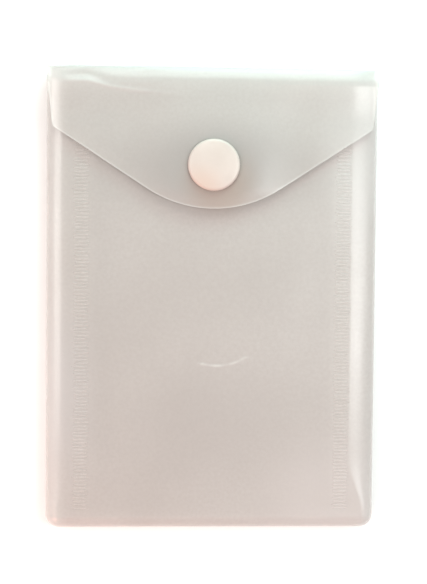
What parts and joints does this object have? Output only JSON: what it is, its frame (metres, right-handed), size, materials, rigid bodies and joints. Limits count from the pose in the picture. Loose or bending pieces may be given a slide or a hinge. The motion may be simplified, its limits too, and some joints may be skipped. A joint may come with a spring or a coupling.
{
  "type": "portfolio case",
  "caption": "Small portrait pocket case of frosted translucent sheet with rounded side and bottom folds, ribbed side welds and a curved flap that closes with a round press stud.",
  "frame": {"origin": "middle of the footprint, on the outer face of the back panel, with the case lying on its back", "axes": "+X across the width, to the right seen from the front; +Y up to the top fold; +Z out of the front panel, towards the press stud"},
  "size_m": [0.11, 0.153, 0.0143],
  "materials": {
    "frosted_sheet": "frosted translucent polypropylene, fine matte grain outside",
    "weld_ribs": "pressed and fused polypropylene, slightly glossier than the sheet",
    "snap_plastic": "moulded warm white plastic, satin"
  },
  "bodies": {
    "case": {"back_panel": "frosted_sheet", "front_panel": "frosted_sheet", "bottom_fold": "frosted_sheet", "left_side_wall": "frosted_sheet", "right_side_wall": "frosted_sheet", "left_weld_tab": "frosted_sheet", "right_weld_tab": "frosted_sheet", "left_weld_seam": "weld_ribs", "right_weld_seam": "weld_ribs", "snap_stud": "snap_plastic", "stud_backing_cap": "snap_plastic"},
    "spine": {"top_spine": "frosted_sheet"},
    "flap": {"flap": "frosted_sheet", "snap_cap": "snap_plastic", "snap_socket": "snap_plastic"}
  },
  "joints": [
    {"name": "spine_hinge", "type": "hinge", "parent": "case", "child": "spine", "pos_m": [0, 0.07625, 0.00025], "axis": [-1, 0, 0], "range_deg": [0, 90]},
    {"name": "flap_hinge", "type": "hinge", "parent": "spine", "child": "flap", "pos_m": [0, 0.07625, 0.01225], "axis": [-1, 0, 0], "range_deg": [0, 85.5]}
  ]
}
